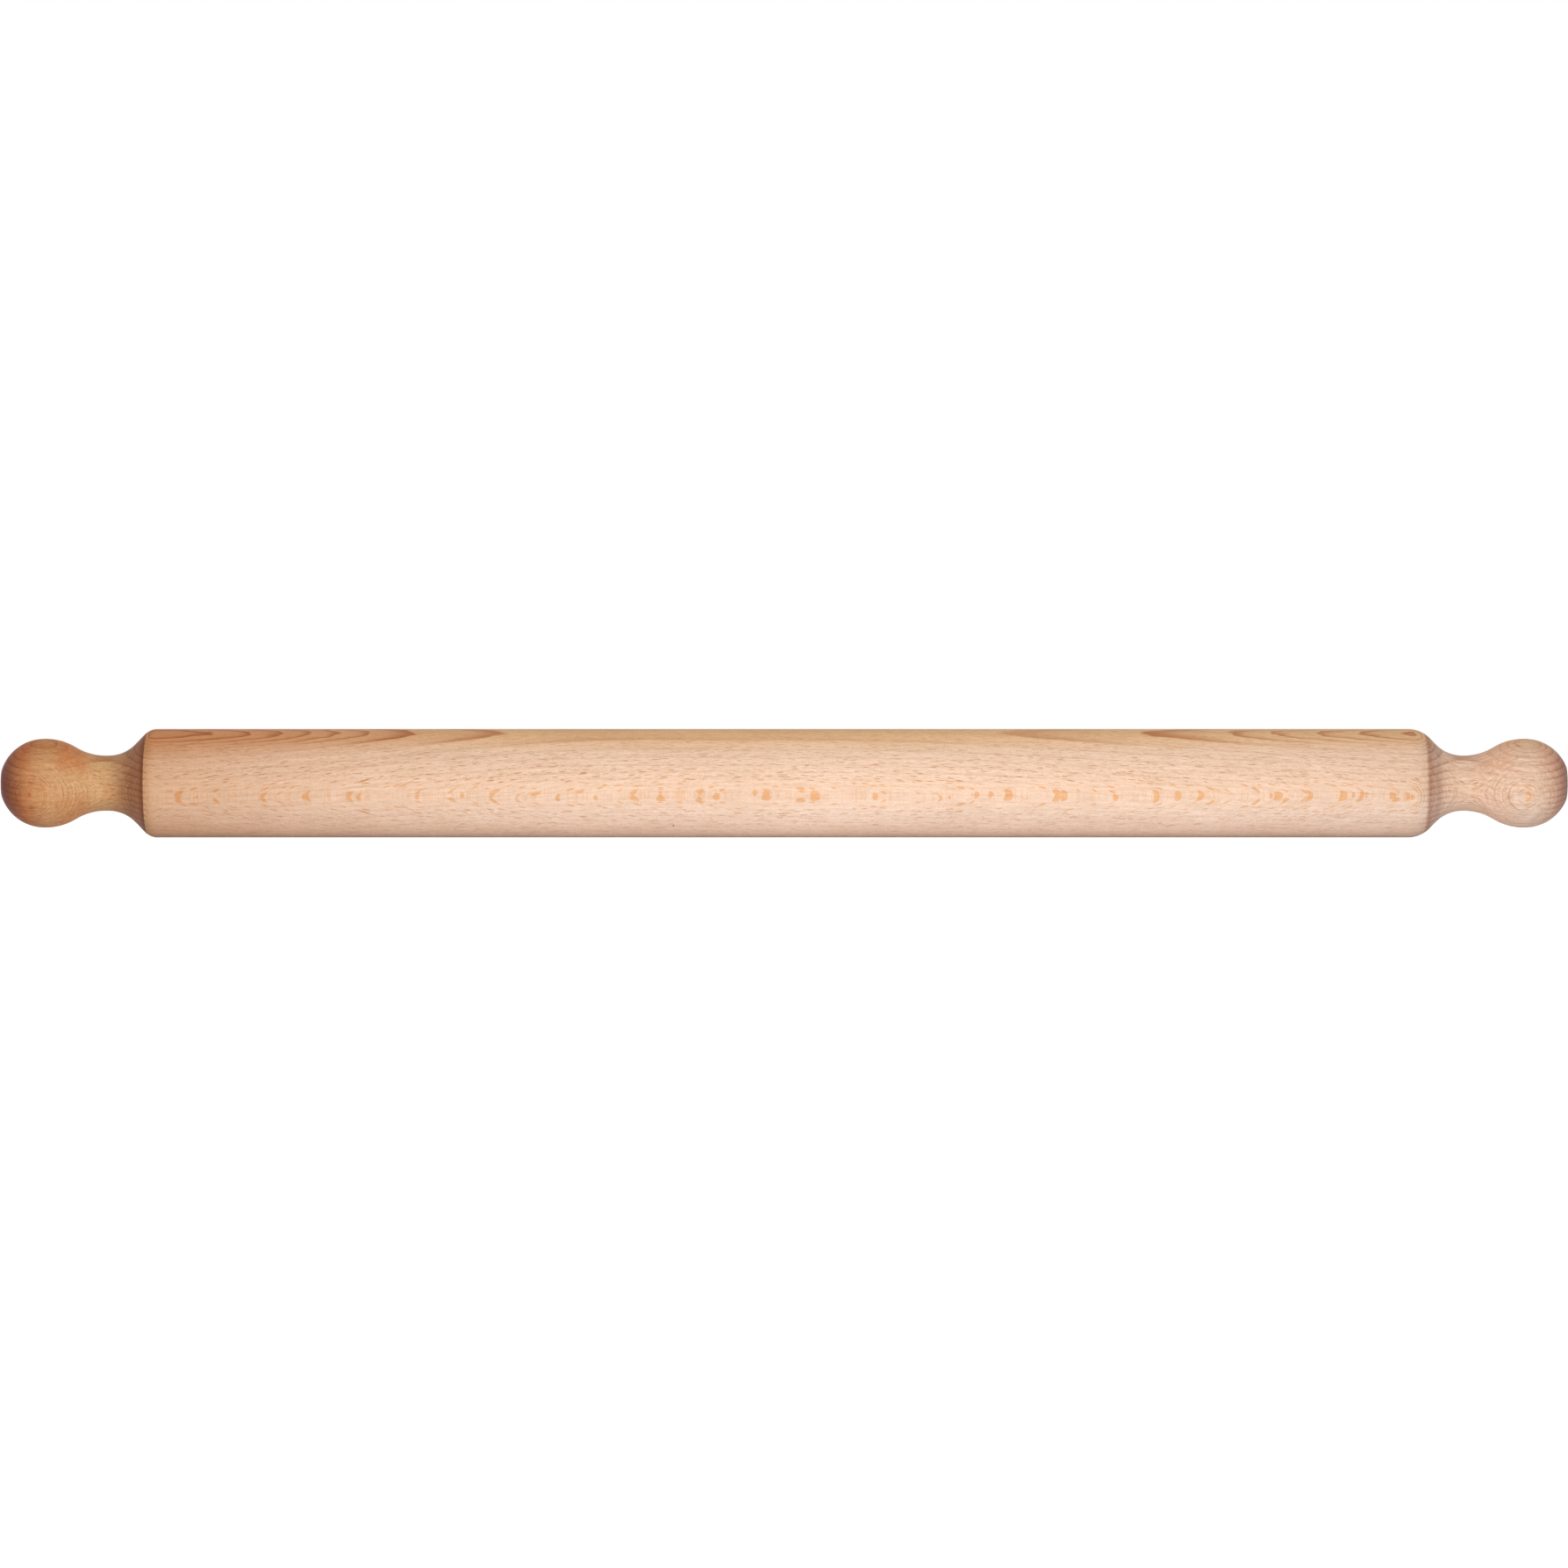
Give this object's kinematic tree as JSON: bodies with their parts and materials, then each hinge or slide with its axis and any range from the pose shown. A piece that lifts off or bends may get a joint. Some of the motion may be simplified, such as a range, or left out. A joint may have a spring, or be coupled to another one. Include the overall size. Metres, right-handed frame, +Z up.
{
  "type": "rolling pin",
  "caption": "Long slender wooden rolling pin with a straight cylindrical barrel and fixed ball-ended handles, for rolling out dough, pasta and pastry by hand.",
  "frame": {"origin": "middle of the pin, on its turning axis", "axes": "+X along the turning axis from the left handle to the right handle, +Z up as the pin lies on a table, +Y away from a viewer who sees the left handle on the left"},
  "size_m": [0.6, 0.0416, 0.0416],
  "materials": {
    "barrel_beech": "fine sanded, unvarnished",
    "handle_beech": "smooth turned, unvarnished"
  },
  "bodies": {
    "root": {"barrel": "barrel_beech", "left_handle": "handle_beech", "right_handle": "handle_beech"}
  },
  "joints": []
}
